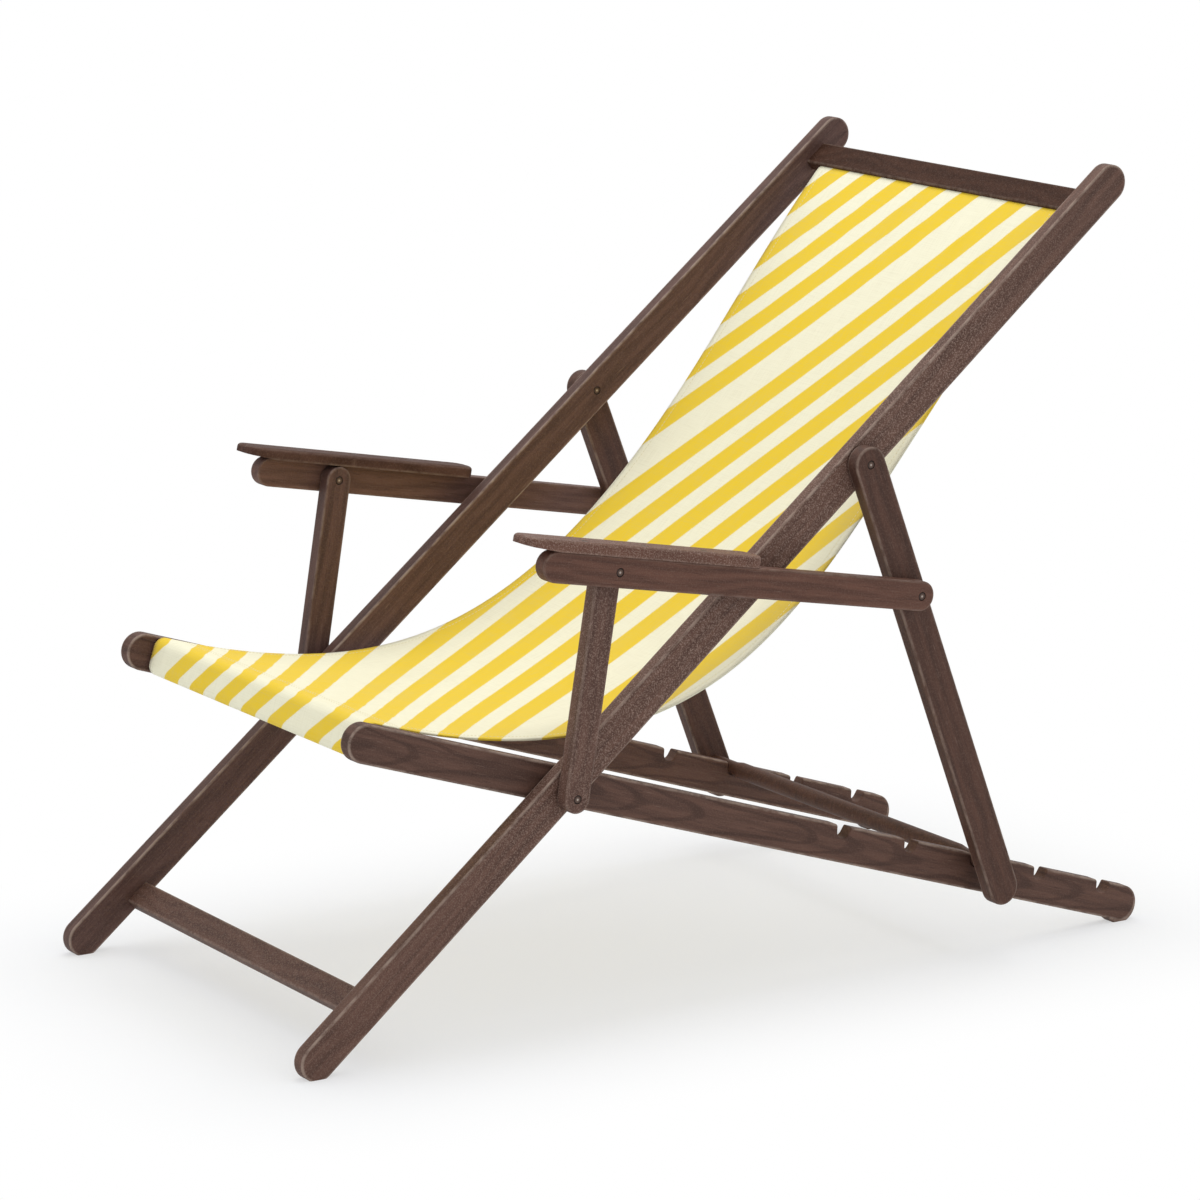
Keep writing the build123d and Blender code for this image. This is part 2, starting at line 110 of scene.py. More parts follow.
# Shader graphs
class Value:
    """A number that changes over a surface: arithmetic on it adds Math nodes."""

    def __init__(self, graph, socket):
        self.graph = graph
        self.socket = socket

    def math(self, operation, first, second=0.0, third=0.0):
        return self.graph.node("Math", {"operation": operation}, {0: first, 1: second, 2: third})

    def __add__(self, other):
        return self.math("ADD", self, other)

    def __sub__(self, other):
        return self.math("SUBTRACT", self, other)

    def __rsub__(self, other):
        return self.math("SUBTRACT", other, self)

    def __mul__(self, other):
        return self.math("MULTIPLY", self, other)

    def __truediv__(self, other):
        return self.math("DIVIDE", self, other)

    def __mod__(self, other):
        return self.math("FLOORED_MODULO", self, other)

    def __abs__(self):
        return self.math("ABSOLUTE", self)

    def below(self, other):
        return self.math("LESS_THAN", self, other)

    def at_least(self, other):
        return self.math("MAXIMUM", self, other)

    def sine(self):
        return self.math("SINE", self)

    def wave(self):
        """Sine of the value, shifted to run from 0 to 1."""
        return (self.sine() + 1.0) * 0.5

    def root(self):
        return self.math("SQRT", self)

    def ramp(self, low, high):
        """0 below low, 1 above high and smooth between them."""
        return self.graph.node(
            "MapRange", {"interpolation_type": "SMOOTHSTEP"}, {0: self, 1: low, 2: high, 3: 0.0, 4: 1.0}
        )

    __radd__ = __add__
    __rmul__ = __mul__


class Graph:
    """A shader node tree: one method adds a node of any kind, and the others are short ways to call it."""

    def __init__(self, tree):
        self.tree = tree
        tree.nodes.clear()

    def put(self, socket, value):
        """Links a value to a socket, or writes a plain number or colour on it."""
        if isinstance(value, Value):
            self.tree.links.new(value.socket, socket)
        else:
            socket.default_value = value

    def node(self, kind, settings, sockets, output=0):
        """Adds a node of a kind: its settings are set first, then its sockets' values or links."""
        made = self.tree.nodes.new("ShaderNode" + kind)
        for key, setting in settings.items():
            setattr(made, key, setting)
        for key, value in sockets.items():
            self.put(made.inputs[key], value)
        return Value(self, made.outputs[output]) if made.outputs else None

    def split(self, vector):
        """The three numbers of a vector, as three values."""
        first = self.node("SeparateXYZ", {}, {0: vector})
        return [Value(self, socket) for socket in first.socket.node.outputs]

    def object_axes(self):
        """X, Y and Z of the object's own coordinates."""
        return self.split(self.node("TexCoord", {}, {}, "Object"))

    def vector(self, x, y, z):
        return self.node("CombineXYZ", {}, {0: x, 1: y, 2: z})

    def mix(self, factor, first, second):
        """A colour between two colours."""
        return self.node("Mix", {"data_type": "RGBA"}, {0: factor, 6: first, 7: second}, 2)

    def noise(self, vector, scale, detail=2.0, roughness=0.5):
        """Soft noise from 0 to 1 at a scale per metre of the vector given."""
        sockets = {"Vector": vector, "Scale": scale, "Detail": detail, "Roughness": roughness}
        return self.node("TexNoise", {}, sockets)

    def bump(self, height, strength, distance):
        return self.node("Bump", {}, {"Height": height, "Strength": strength, "Distance": distance})

    def seen(self):
        """1 for a ray that looks at a surface, straight, in a reflection or through glass; 0 for light."""
        kinds = ("Is Camera Ray", "Is Glossy Ray", "Is Transmission Ray")
        straight_on, mirrored, through = [self.node("LightPath", {}, {}, kind) for kind in kinds]
        return straight_on.at_least(mirrored).at_least(through)


class Finish(Graph):
    """One material's node tree."""

    def __init__(self, name):
        self.material = bpy.data.materials.new(name)
        self.material.use_nodes = True
        super().__init__(self.material.node_tree)

    def end(self, shader):
        """Ends the tree in a shader and gives the material."""
        self.node("OutputMaterial", {}, {"Surface": shader})
        return self.material

    def close(self, **sockets):
        """Ends the tree in a Principled shader with these sockets and gives the material."""
        named = {key.replace("_", " "): value for key, value in sockets.items()}
        return self.end(self.node("BsdfPrincipled", {}, named))


def hex_colour(text):
    """Linear colour, with alpha, of a screen colour written as six hexadecimal digits."""
    shares = np.array([int(text[i:i + 2], 16) for i in (0, 2, 4)]) / 255
    linear = np.where(shares <= 0.04045, shares / 12.92, ((shares + 0.055) / 1.055) ** 2.4)
    return (*linear.tolist(), 1.0)


# Wood: dark brown stain, fine grain along each member, pale specks and worn arrises
STAIN_DARK = "3b2720"
STAIN_MIDDLE = "573f36"
STAIN_LIGHT = "6f5247"
FLECK_COLOUR = hex_colour("8f7568")
SPECK_COLOUR = hex_colour("a88d7f")
WORN_COLOUR = hex_colour("ac988a")
ALL_OVER = (0.0, 2.0)
PLAIN_SHADE = (1.0, 1.0, 1.0)
# Streaks have a rate along the member and one across it, and then the noise's own settings
GRAIN = dict(rates=(3.0, 62.0), scale=3.6, detail=4.0, roughness=0.62)
PORES = dict(rates=(24.0, 420.0), scale=2.4, detail=2.0, roughness=0.5)
FLECKS = dict(rates=(17.0, 300.0), scale=2.2, detail=3.0, roughness=0.6)
SCUFFS = dict(rates=(30.0, 60.0), scale=2.0, detail=4.0, roughness=0.65)
SPECKS = dict(scale=680.0, detail=2.0, roughness=0.6)
WANDER_SCALE = 5.0
WANDER_RATE = 3.0
# Figure goes by width, thickness and wander, flame by length, width squared and wander
FIGURE_RATES = (420.0, 260.0, 26.0)
FLAME_RATES = (62.0, 21000.0, 22.0)
FLAME_RANGE = (0.66, 0.98)
# Tone is made of grain, figure and wander
TONE_SHARES = (0.75, 0.16, 0.25)
TONE_DROP = 0.08
TONE_RANGE = (0.22, 0.78)
MIDDLE_SHARE = 0.45
PORE_RANGE = (0.60, 0.72)
PORE_SHARE = 0.55
PIT_RANGE = (0.58, 0.74)
FLECK_RANGE = (0.60, 0.78)
FLECK_SHARE = 0.45
SPECK_RANGE = (0.46, 0.68)
SPECK_FADE = 0.65
SCUFF_RANGE = (0.30, 0.66)
SCUFF_SHARES = (0.12, 0.75)
WORN_WIDTH = 0.0032
WORN_RANGE = (0.25, 1.0)
# Roughness is a base plus shares of grain and wear, relief is made of grain, pits and flecks
WOOD_ROUGHNESS = (0.50, 0.18, 0.12)
WOOD_RELIEF = (0.5, 0.5, 0.2)
WOOD_BUMP = (0.35, 0.0006)
WOOD_GLOSS = 0.25
DULL_GLOSS = 0.06


def shaded(text, shade):
    """A colour written as six hexadecimal digits, times a red, a green and a blue shade."""
    return (*(np.array(hex_colour(text)[:3]) * shade).tolist(), 1.0)


def wood_finish(
    name, run, rise, side, half_length, half_width, half_side,
    wear=0.8, seed=0.0, shade=PLAIN_SHADE, specks=0.1, speck_stretch=ALL_OVER, flame=0.0, gloss=WOOD_GLOSS,
):
    """Stained wood on one member.

    run, rise and side give a member's own axes from object x, y and z: along it, across its width and
    across its thickness, each measured from its middle. Worn edges are where the distances to a side face
    and to a broad face are both small, and a round end is the same width measured from the end's centre.
    Flame figure is a sine of length + width squared, which draws nested arches along the member. Specks
    are thickest on one stretch, given by its middle and its reach. Streaks are noise drawn out along the
    member, by a lower rate along it than across it.
    """
    finish = Finish(name)
    x, y, z = finish.object_axes()
    length = run(x, y, z)
    width = rise(x, y, z)
    thickness = side(x, y, z)

    def streaks(shift, rates, **noise):
        """Noise drawn out along the member, shifted so that each member has its own."""
        place = finish.vector(length * rates[0], width * rates[1], x * rates[1] + shift)
        return finish.noise(place, **noise)

    def weighed(shares, *values):
        """Sum of values, each times its share."""
        first, *rest = [value * share for share, value in zip(shares, values)]
        return sum(rest, first)

    wander = finish.noise(finish.vector(length, width * WANDER_RATE, x + seed), WANDER_SCALE)
    grain = streaks(seed, **GRAIN)
    pores = streaks(seed, **PORES)
    flecks = streaks(-seed, **FLECKS)
    scuffs = streaks(seed, **SCUFFS)
    figure = (weighed(FIGURE_RATES, width, thickness, wander) + seed).wave()
    arches = weighed(FLAME_RATES, length, width * width, wander).wave()
    middle, reach = speck_stretch
    speckled = 1.0 - abs(length - middle).ramp(reach / 2, reach) * SPECK_FADE
    speck = finish.noise(finish.vector(x, y, z), **SPECKS).ramp(*SPECK_RANGE) * speckled * specks
    tone = weighed(TONE_SHARES, grain, figure, wander) - TONE_DROP
    dark = shaded(STAIN_DARK, shade)
    stain = finish.mix(tone.ramp(*TONE_RANGE), dark, shaded(STAIN_LIGHT, shade))
    stain = finish.mix(MIDDLE_SHARE, stain, shaded(STAIN_MIDDLE, shade))
    stain = finish.mix(arches.ramp(*FLAME_RANGE) * flame, stain, dark)
    stain = finish.mix(pores.ramp(*PORE_RANGE) * PORE_SHARE, stain, dark)
    stain = finish.mix(flecks.ramp(*FLECK_RANGE) * FLECK_SHARE, stain, FLECK_COLOUR)
    stain = finish.mix(speck, stain, SPECK_COLOUR)
    past_end = (abs(length) - (half_length - half_width)).at_least(0.0)
    from_side = half_width - (width * width + past_end * past_end).root()
    from_face = half_side - abs(thickness)
    from_arris = abs(from_side) + abs(from_face)
    on_arris = 1.0 - (from_arris / WORN_WIDTH).ramp(*WORN_RANGE)
    least, most = SCUFF_SHARES
    worn = on_arris * (scuffs.ramp(*SCUFF_RANGE) * most + least) * wear
    base, from_grain, from_wear = WOOD_ROUGHNESS
    height = weighed(WOOD_RELIEF, grain, 1.0 - pores.ramp(*PIT_RANGE), flecks)
    return finish.close(
        Base_Color=finish.mix(worn, stain, WORN_COLOUR),
        Roughness=base + grain * from_grain + worn * from_wear,
        Normal=finish.bump(height, *WOOD_BUMP),
        Specular_IOR_Level=gloss,
    )


def node_spans(node):
    """Middle and half size in x of a node's box, with the sign of its side left out."""
    low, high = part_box(node)
    return abs(low[0] + high[0]) / 2, (high[0] - low[0]) / 2


def member_finish(name, node, middle, lean, half_length, half_width, **wants):
    """Wood on a member that lies in the side view and stands in a left and right pair."""
    up = along(lean)
    over = across(lean)
    x_middle, half_side = node_spans(node)

    def run(x, y, z):
        return (y - middle[0]) * up[0] + (z - middle[1]) * up[1]

    def rise(x, y, z):
        return (y - middle[0]) * over[0] + (z - middle[1]) * over[1]

    def side(x, y, z):
        return abs(x) - x_middle

    return wood_finish(name, run, rise, side, half_length, half_width, half_side, **wants)


def cross_finish(name, node, lean, half_width, half_side, **wants):
    """Wood on a member that runs from side to side, its width along a lean in the side view."""
    middle = box_middle(node)
    up = along(lean)
    over = across(lean)
    half_length = node_spans(node)[1]

    def run(x, y, z):
        return x

    def rise(x, y, z):
        return (y - middle[0]) * up[0] + (z - middle[1]) * up[1]

    def side(x, y, z):
        return (y - middle[0]) * over[0] + (z - middle[1]) * over[1]

    return wood_finish(name, run, rise, side, half_length, half_width, half_side, **wants)


def board_finish(name, node, lean, half_width, half_side, **wants):
    """Wood on an arm board: long along the arm, wide across the chair, thin square to both."""
    middle = box_middle(node)
    up = along(lean)
    over = across(lean)
    x_middle, _ = node_spans(node)
    low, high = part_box(node)
    half_length = (high[1] - low[1]) / 2 / cos(lean)

    def run(x, y, z):
        return (y - middle[0]) * up[0] + (z - middle[1]) * up[1]

    def rise(x, y, z):
        return abs(x) - x_middle

    def side(x, y, z):
        return (y - middle[0]) * over[0] + (z - middle[1]) * over[1]

    return wood_finish(name, run, rise, side, half_length, half_width, half_side, **wants)


def put_finish(material, *nodes):
    """Gives CAD nodes one material in all their slots."""
    for node in nodes:
        mesh = frame["nodes"][node].data
        mesh.materials.clear()
        mesh.materials.append(material)


def both(piece):
    """The names of a piece's left and right nodes."""
    return "left_" + piece, "right_" + piece


def pair_finish(piece, middle, lean, half_length, half_width, left, right):
    """Wood on a left and a right member, each with its own grain and shade."""
    place = (middle, lean, half_length, half_width)
    for node, wants in zip(both(piece), (left, right)):
        put_finish(member_finish("stained_wood_" + node, node, *place, **wants), node)


MAIN_SPAN = float(np.linalg.norm(main_top - main_foot))
SEAT_FRONT = 0.244
SEAT_REAR = 0.813
POST_HALF_LENGTH = 0.1338
ARM_RAIL_HALF_LENGTH = 0.2535
SLAT_HALF = (0.016, 0.007)
STRETCHER_HALF = (0.0145, 0.007)
BAR_HALF = (0.019, 0.010)
ROD_RADIUS = 0.010
BOARD_HALF = (0.018, 0.006)
# Stain shades per member. Painted light makes the left rail and left post lighter and the right arm lighter
# and greyer. The right rail and right post are painted bluer against the cloth's yellow light, and the
# right post is also darker by painted shade. Painted shade darkens the right board and the top slat, whose
# upper faces catch the overhead lamp, and the slat also has a darker tone. The other shades are the wood's
# own tone.
LEFT_RAIL_PAINTED_LIGHT = (1.14, 1.10, 1.06)
RIGHT_RAIL_PAINTED_LIGHT = (1.01, 1.01, 1.10)
SEAT_SHADE = (1.03, 0.97, 0.92)
PROP_SHADE = (0.82, 0.71, 0.64)
LEFT_POST_PAINTED_LIGHT = (1.10, 1.06, 1.04)
RIGHT_POST_PAINTED_SHADE = (0.88, 0.86, 0.94)
LEFT_ARM_SHADE = (1.18, 1.00, 0.90)
RIGHT_ARM_PAINTED_LIGHT = (1.24, 1.20, 1.22)
RIGHT_BOARD_PAINTED_SHADE = (0.80, 0.78, 0.80)
SLAT_TONE_AND_PAINTED_SHADE = (0.52, 0.44, 0.37)
STRETCHER_SHADE = (1.08, 1.05, 1.04)

main_middle = (main_foot + main_top) / 2
# Left rail lighter by painted light, right rail bluer by painted light against the cloth's yellow light
pair_finish(
    "main_rail", main_middle, main_lean, MAIN_SPAN / 2 + RAIL_HALF_WIDTH, RAIL_HALF_WIDTH,
    left=dict(seed=1.7, shade=LEFT_RAIL_PAINTED_LIGHT, specks=0.62, speck_stretch=(0.07, 0.56)),
    right=dict(seed=41.7, shade=RIGHT_RAIL_PAINTED_LIGHT),
)

seat_middle = main_pivot + PIVOT_DROP * seat_over + (SEAT_REAR - SEAT_FRONT) / 2 * seat_back
pair_finish(
    "seat_rail", seat_middle, -seat_lean, (SEAT_REAR + SEAT_FRONT) / 2 + RAIL_HALF_WIDTH, RAIL_HALF_WIDTH,
    left=dict(wear=0.85, seed=4.3, shade=SEAT_SHADE, flame=0.55),
    right=dict(wear=0.85, seed=44.3, shade=SEAT_SHADE, flame=0.55),
)

prop_lean = heading(arm_rear_pivot, rod_centre)
prop_low, prop_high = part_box("left_prop_leg")
prop_rise = (prop_high[2] - prop_low[2]) / 2 - PROP_HALF_WIDTH
prop_half = prop_rise / abs(sin(prop_lean)) + PROP_HALF_WIDTH
pair_finish(
    "prop_leg", box_middle("left_prop_leg"), prop_lean, prop_half, PROP_HALF_WIDTH,
    left=dict(wear=0.5, seed=7.9, shade=PROP_SHADE),
    right=dict(wear=0.5, seed=47.9, shade=PROP_SHADE),
)

post_lean = heading(main_pivot, arm_front_pivot)
# Left post lighter by painted light, right post darker and bluer by painted shade
pair_finish(
    "arm_post", box_middle("left_arm_post"), post_lean, POST_HALF_LENGTH, POST_HALF_WIDTH,
    left=dict(wear=0.35, seed=11.2, shade=LEFT_POST_PAINTED_LIGHT, specks=0.45),
    right=dict(wear=0.35, seed=51.2, shade=RIGHT_POST_PAINTED_SHADE),
)

arm_lean = heading(arm_front_pivot, arm_rear_pivot)
# Right arm lighter and greyer by painted light
pair_finish(
    "arm_rail", box_middle("left_arm_rail"), arm_lean, ARM_RAIL_HALF_LENGTH, ARM_RAIL_HALF_HEIGHT,
    left=dict(wear=0.3, seed=14.6, shade=LEFT_ARM_SHADE),
    right=dict(wear=0.3, seed=54.6, shade=RIGHT_ARM_PAINTED_LIGHT),
)

# Right board darker by painted shade
left_board_wants = dict(wear=0.3, seed=18.1, shade=LEFT_ARM_SHADE, specks=0.55)
right_board_wants = dict(wear=0.3, seed=58.1, shade=RIGHT_BOARD_PAINTED_SHADE, gloss=DULL_GLOSS)
for board, wants in zip(both("arm_board"), (left_board_wants, right_board_wants)):
    put_finish(board_finish("stained_wood_" + board, board, arm_lean, *BOARD_HALF, **wants), board)

# Slat darker: its own darker tone plus painted shade
slat_wood = cross_finish(
    "stained_wood_top_slat", "top_slat", main_lean, *SLAT_HALF,
    wear=0.3, seed=21.0, shade=SLAT_TONE_AND_PAINTED_SHADE, gloss=DULL_GLOSS,
)
put_finish(slat_wood, "top_slat")

stretcher_wood = cross_finish(
    "stained_wood_foot_stretcher", "foot_stretcher", main_lean, *STRETCHER_HALF,
    wear=0.5, seed=24.0, shade=STRETCHER_SHADE, specks=0.3,
)
put_finish(stretcher_wood, "foot_stretcher")

bar_wood = cross_finish(
    "stained_wood_front_bar", "front_bar", pi / 2 - seat_lean, *BAR_HALF, wear=0.3, seed=27.0,
)
put_finish(bar_wood, "front_bar")

rod_wood = cross_finish(
    "stained_wood_prop_rod", "prop_rod", 0.0, ROD_RADIUS, ROD_RADIUS, wear=0.0, seed=30.0, shade=PROP_SHADE,
)
put_finish(rod_wood, "prop_rod")


# Steel: dull, dark washers, screws and tacks, and browned pins with a painted highlight in the middle and
# painted shade towards the rim
STEEL_COLOUR = hex_colour("4a423d")
STEEL_BLOOM = hex_colour("2b211c")
BLOOM = dict(scale=260.0, detail=4.0, roughness=0.6)
BLOOM_RANGE = (0.42, 0.72)
BLOOM_SHARE = 0.8
BLOOM_DULLS = 0.5
STEEL_GRAIN_SCALE = 2400.0
STEEL_ROUGHNESS = (0.38, 0.25, 0.08)
STEEL_BUMP = (0.15, 0.0002)
PIN_COLOUR = hex_colour("5e4a40")
# Painted shade towards each pin head's rim and a painted highlight in its middle, with their reaches from
# the pin's axis
PIN_RIM_PAINTED_SHADE = hex_colour("2f221d")
PIN_PAINTED_HIGHLIGHT = hex_colour("c4b8ae")
PIN_HIGHLIGHT_REACH = (0.0005, 0.0017)
PIN_HIGHLIGHT_WOBBLE = 0.0006
PIN_HIGHLIGHT_SHARE = 0.8
PIN_RIM_SHADE_REACH = (0.0022, 0.0040)
PIN_GRAIN = dict(scale=1800.0, detail=3.0, roughness=0.6)
PIN_ROUGHNESS = (0.50, -0.15, 0.1)
PIN_BUMP = (0.12, 0.0002)
PIN_METAL = 0.5


def steel_finish():
    """Dull steel: grey with soft brown bloom, rougher where it is brown."""
    finish = Finish("dull_steel")
    place = finish.node("TexCoord", {}, {}, "Object")
    bloom = finish.noise(place, **BLOOM).ramp(*BLOOM_RANGE)
    fine = finish.noise(place, STEEL_GRAIN_SCALE)
    base, from_bloom, from_fine = STEEL_ROUGHNESS
    return finish.close(
        Base_Color=finish.mix(bloom * BLOOM_SHARE, STEEL_COLOUR, STEEL_BLOOM),
        Metallic=1.0 - bloom * BLOOM_DULLS,
        Roughness=base + bloom * from_bloom + fine * from_fine,
        Normal=finish.bump(fine, *STEEL_BUMP),
    )


def pin_finish(name, centre):
    """Browned steel on a pin along X: its colour goes by the distance from the pin's axis, with a painted
    highlight in the middle and painted shade towards the rim.
    """
    finish = Finish(name)
    x, y, z = finish.object_axes()
    back = y - centre[0]
    up = z - centre[1]
    from_axis = (back * back + up * up).root()
    fine = finish.noise(finish.vector(x, y, z), **PIN_GRAIN)
    # Painted highlight in the middle of the head
    painted_highlight = 1.0 - (from_axis + (fine - 0.5) * PIN_HIGHLIGHT_WOBBLE).ramp(*PIN_HIGHLIGHT_REACH)
    # Painted shade towards the head's rim
    colour = finish.mix(from_axis.ramp(*PIN_RIM_SHADE_REACH), PIN_COLOUR, PIN_RIM_PAINTED_SHADE)
    base, from_highlight, from_fine = PIN_ROUGHNESS
    return finish.close(
        Base_Color=finish.mix(painted_highlight * PIN_HIGHLIGHT_SHARE, colour, PIN_PAINTED_HIGHLIGHT),
        Metallic=PIN_METAL,
        Roughness=base + painted_highlight * from_highlight + fine * from_fine,
        Normal=finish.bump(fine, *PIN_BUMP),
    )


pin_nodes = ["main_pivot_pins", "prop_pivot_pins", "prop_pivot_sockets"]
pin_nodes += [*both("arm_front_pin"), *both("arm_rear_pin")]
for pin in pin_nodes:
    put_finish(pin_finish("browned_steel_" + pin, box_middle(pin)), pin)

steel = steel_finish()
washer_nodes = ["main_pivot_washers", "prop_pivot_washers"]
washer_nodes += [*both("arm_front_washer"), *both("arm_rear_washer")]
put_finish(steel, *washer_nodes, *both("arm_board_screws"))


# Canvas sling: its path in the side view
CLOTH_THICKNESS = 0.0012
HEM_GAP = 0.0006
SLAT_FROM_TOP = 0.034
SLAT_ACROSS = -0.003
BAR_SETBACK = 0.019
KERF_LIP = 0.004
SLING_TUCK = 0.012
SLING_BEND_RADIUS = 0.060
SLING_TOP_SLOPE = 0.88
SLING_BACK_PULL = 0.432
SLING_SEAT_PULL = 0.495
SLING_HALF_WIDTH = 0.211
SLING_WAIST = 0.006
WAIST_PLACE = 0.30
WAIST_REACH = 0.16
SLING_BELLY = 0.005
BELLY_PLACE = 0.62
BELLY_REACH = 0.13
FLAP_TURN = 0.006
FLAP_LENGTH = 0.026
KERF_CLEARANCE = 0.00015
FLAP_CLEARANCE = 0.0002
TUCK_STEPS = 10
BEND_STEPS = 12
HANG_STEPS = 220
RING_STEPS = 14
SIDE_STEPS = 6
FLAP_STEPS = 8


def straight(start, end, count):
    """Points on a line, its first point left out."""
    share = np.linspace(0, 1, count + 1)[1:, None]
    return start + (end - start) * share


def turned(centre, radius, first, last, count):
    """Points on an arc between two angles, its first point left out."""
    angle = np.linspace(first, last, count + 1)[1:]
    return centre + radius * np.stack((np.cos(angle), np.sin(angle)), axis=1)


def hanging(start, start_pull, end_pull, end, count):
    """Points on the cubic curve between two ends and their two pull points, its first point left out."""
    t = np.linspace(0, 1, count + 1)[1:, None]
    from_start = (1 - t) ** 3 * start + 3 * (1 - t) ** 2 * t * start_pull
    from_end = 3 * (1 - t) * t ** 2 * end_pull + t ** 3 * end
    return from_start + from_end


slat_low = (main_top - main_pivot) @ main_up - SLAT_FROM_TOP - SLAT_HALF[0]
sling_face = PIVOT_DROP + SLAT_ACROSS + SLAT_HALF[1] - KERF_LIP - KERF_CLEARANCE
tuck_start = main_pivot + (slat_low + SLING_TUCK) * main_up + sling_face * main_over
tuck_end = main_pivot + slat_low * main_up + sling_face * main_over
bar_centre = main_pivot + (BAR_SETBACK - SEAT_FRONT) * seat_back + PIVOT_DROP * seat_over
hem_reach = HEM_GAP + CLOTH_THICKNESS
hem_top = bar_centre + (BAR_HALF[0] + hem_reach) * seat_over


def on_bar(back, over):
    """A point set back from the bar's centre along the seat and over it."""
    return bar_centre + back * seat_back + over * seat_over


def sling_path():
    """The cloth's upper face from inside the slat's kerf to the end of the flap behind the front bar.

    It runs down out of the kerf, bends back on a round, hangs in one cubic curve, goes round the bar in a
    flat-sided ring and turns back under itself in a short flap.
    """
    bend_centre = tuck_end - SLING_BEND_RADIUS * main_over
    hang_start = bend_centre + SLING_BEND_RADIUS * across(SLING_TOP_SLOPE)
    ring_radius = BAR_HALF[1] + hem_reach
    ring_half = BAR_HALF[0] - BAR_HALF[1]
    top_angle = pi / 2 - seat_lean
    front_angle = top_angle + pi / 2
    flap_over = BAR_HALF[0] + HEM_GAP - FLAP_CLEARANCE
    turn_over = flap_over - FLAP_TURN - CLOTH_THICKNESS
    turn_centre = on_bar(ring_radius + FLAP_TURN, turn_over)
    flap_start = on_bar(ring_radius + FLAP_TURN, flap_over - CLOTH_THICKNESS)
    parts = [
        tuck_start[None, :],
        straight(tuck_start, tuck_end, TUCK_STEPS),
        turned(bend_centre, SLING_BEND_RADIUS, main_lean + pi / 2, SLING_TOP_SLOPE + pi / 2, BEND_STEPS),
        hanging(
            hang_start,
            hang_start - SLING_BACK_PULL * along(SLING_TOP_SLOPE),
            hem_top + SLING_SEAT_PULL * seat_back,
            hem_top,
            HANG_STEPS,
        ),
        turned(on_bar(0, ring_half), ring_radius, top_angle, front_angle, RING_STEPS),
        straight(on_bar(-ring_radius, ring_half), on_bar(-ring_radius, -ring_half), SIDE_STEPS),
        turned(on_bar(0, -ring_half), ring_radius, front_angle, front_angle + pi, 2 * RING_STEPS),
        straight(on_bar(ring_radius, -ring_half), on_bar(ring_radius, turn_over), SIDE_STEPS),
        turned(turn_centre, FLAP_TURN, front_angle, top_angle, FLAP_STEPS),
        straight(flap_start, flap_start + FLAP_LENGTH * seat_back, FLAP_STEPS),
    ]
    return np.concatenate(parts)


path = sling_path()
step = np.diff(path, axis=0)
path_run = np.concatenate(((0.0,), np.cumsum(np.hypot(step[:, 0], step[:, 1]))))
slope = np.gradient(path, path_run, axis=0)
slope = slope / np.linalg.norm(slope, axis=1)[:, None]
path_normal = np.stack((slope[:, 1], -slope[:, 0]), axis=1)
hem_run = float(path_run[np.argmin(np.linalg.norm(path - hem_top, axis=1))])
hang_run = hem_run - SLING_TUCK


def hung(run):
    """Share of the way from the slat to the bar at a run along the cloth."""
    return np.clip((run - SLING_TUCK) / hang_run, 0, 1)


def swell(run, place, reach):
    """A bell curve of the share of the way, 1 at a place and fading with the distance from it."""
    return np.exp(-((hung(run) - place) / reach) ** 2)


path_waist = SLING_WAIST * swell(path_run, WAIST_PLACE, WAIST_REACH)
path_belly = SLING_BELLY * swell(path_run, BELLY_PLACE, BELLY_REACH)
path_half = SLING_HALF_WIDTH - path_waist + path_belly

SAG = 0.007
SAG_ROUND = 1.2
RIPPLE = 0.0011
RIPPLE_REACH = 0.075
RIPPLE_SETBACK = 0.05
RIPPLE_ROUND = 0.5
FINE_SHARE = 0.6
TOP_FOLDS = (31, 1.3, 6, 53, -0.7)
BAR_FOLDS = (27, 0.4, -5, 47, 2.1)


def folds(share, middle, coarse, coarse_start, slant, fine, fine_start):
    """Two sines across the cloth, a coarse one that slants along it and a fine, weaker one."""
    coarse_folds = np.sin(coarse * share + coarse_start + slant * middle)
    fine_folds = np.sin(fine * share + fine_start)
    return coarse_folds + FINE_SHARE * fine_folds


def cloth_lift(share, run):
    """How far the cloth stands off its path, along the path's normal.

    A shallow trough, deepest in the middle, plus faint pull ripples near both ends, which fade with the
    distance from the slat and from the bar. share runs from -1 to 1 across and run along the cloth.
    """
    middle = hung(run)
    trough = -SAG * (1 - share ** 2) * np.sin(pi * middle) ** SAG_ROUND
    free = np.sin(pi * middle) ** RIPPLE_ROUND
    near_top = np.exp(-np.abs(run - SLING_TUCK - RIPPLE_SETBACK) / RIPPLE_REACH)
    near_bar = np.exp(-np.abs(hem_run - RIPPLE_SETBACK - run) / RIPPLE_REACH)
    ripples = near_top * folds(share, middle, *TOP_FOLDS) + near_bar * folds(share, middle, *BAR_FOLDS)
    return trough + RIPPLE * free * ripples


def on_cloth(share, run, depth):
    """Points (x, y, z) of the cloth at a share across, a run along and a depth below its upper face."""
    half = np.interp(run, path_run, path_half)
    y = np.interp(run, path_run, path[:, 0])
    z = np.interp(run, path_run, path[:, 1])
    normal_y = np.interp(run, path_run, path_normal[:, 0])
    normal_z = np.interp(run, path_run, path_normal[:, 1])
    lift = cloth_lift(share, run) - depth
    return np.stack((share * half, y + lift * normal_y, z + lift * normal_z), axis=-1)


def grid_faces(rows, columns, start=0):
    """Quads of a grid of points stored row by row, wound so that row step x column step faces out."""
    corner = (np.arange(rows - 1)[:, None] * columns + np.arange(columns - 1)[None, :]).ravel() + start
    return np.stack((corner, corner + columns, corner + columns + 1, corner + 1), axis=1)


